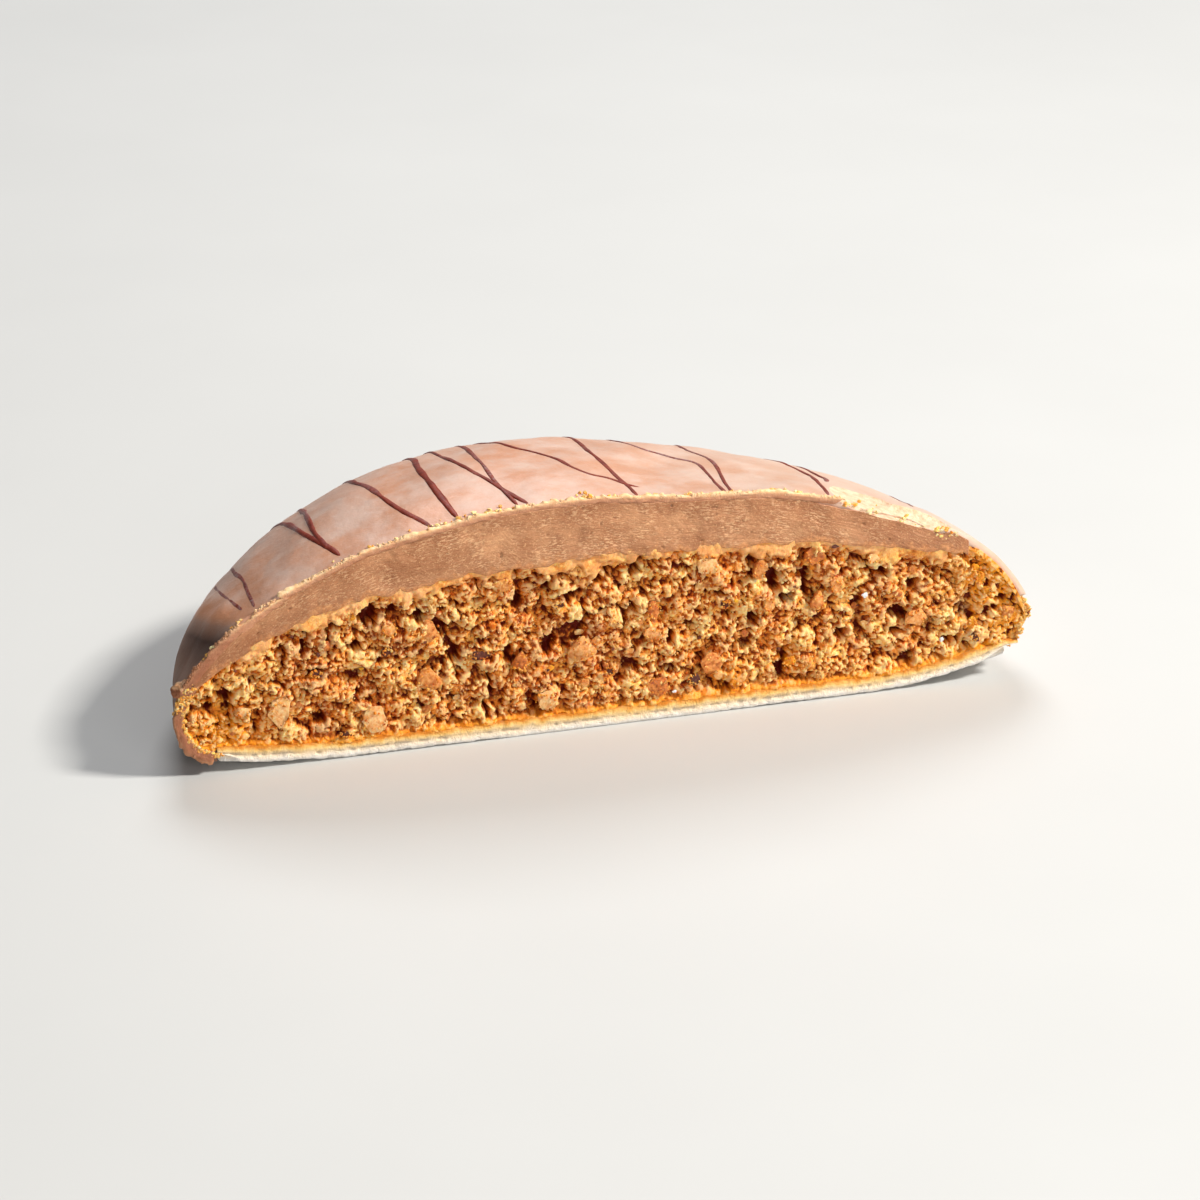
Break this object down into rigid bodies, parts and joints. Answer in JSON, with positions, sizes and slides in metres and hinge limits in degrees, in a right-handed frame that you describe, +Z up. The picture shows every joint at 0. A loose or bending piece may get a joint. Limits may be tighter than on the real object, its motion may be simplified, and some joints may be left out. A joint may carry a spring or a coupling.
{
  "type": "lebkuchen",
  "caption": "Half of a round spiced nut biscuit on a wafer disc, topped with nougat, coated in milk chocolate and striped with dark chocolate.",
  "frame": {"origin": "middle of the bounding box of the footprint, on the surface that the wafer rests on", "axes": "+Z up; -Y out of the cut face; +X along the cut, towards the thinner end"},
  "size_m": [0.0902, 0.0431, 0.0256],
  "materials": {
    "wafer": "dry, matt and finely porous, cream white",
    "crumb": "coarse moist nut crumb, golden brown, with pale nut pieces and dark flecks",
    "nougat": "smooth satin knife cut, greyish light brown",
    "chocolate": "satin milk chocolate with soft pale bloom and thin dark reddish-brown strands"
  },
  "bodies": {
    "root": {"wafer": "wafer", "cake": "crumb", "nougat": "nougat", "glaze": "chocolate"}
  },
  "joints": []
}
